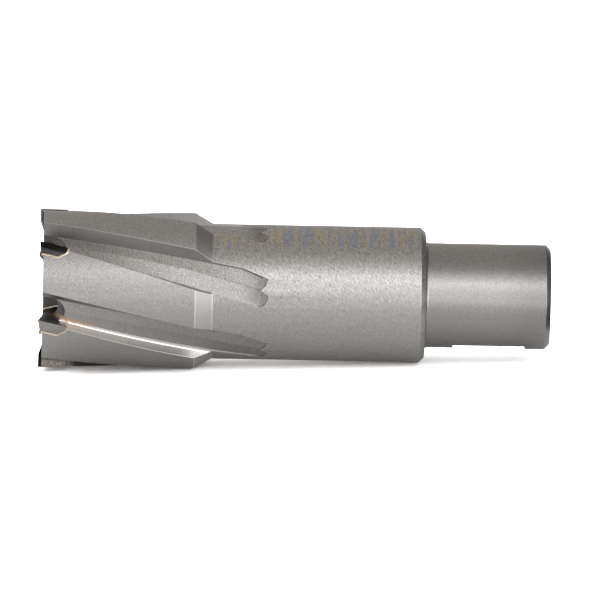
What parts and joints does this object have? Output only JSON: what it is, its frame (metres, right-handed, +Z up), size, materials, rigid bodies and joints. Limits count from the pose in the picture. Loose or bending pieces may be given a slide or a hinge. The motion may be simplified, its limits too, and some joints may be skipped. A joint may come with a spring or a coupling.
{
  "type": "annular cutter",
  "caption": "Hollow fluted cutter with brazed carbide tips, a slug cavity, and a round shank with two drive flats.",
  "frame": {"origin": "on the ground, under the middle of the cutter as it lies", "axes": "+X along the cutter towards the shank end, which lies about 2 degrees lower; +Z up"},
  "size_m": [0.0938, 0.0284, 0.029],
  "materials": {
    "steel": "satin ground and turned tool steel",
    "carbide": "ground dark grey carbide",
    "braze": "pale gold braze"
  },
  "bodies": {
    "root": {"cutter_body": "steel", "carbide_tip_1": "carbide", "braze_seam_1": "braze", "carbide_tip_2": "carbide", "braze_seam_2": "braze", "carbide_tip_3": "carbide", "braze_seam_3": "braze", "carbide_tip_4": "carbide", "braze_seam_4": "braze", "carbide_tip_5": "carbide", "braze_seam_5": "braze", "carbide_tip_6": "carbide", "braze_seam_6": "braze"}
  },
  "joints": []
}
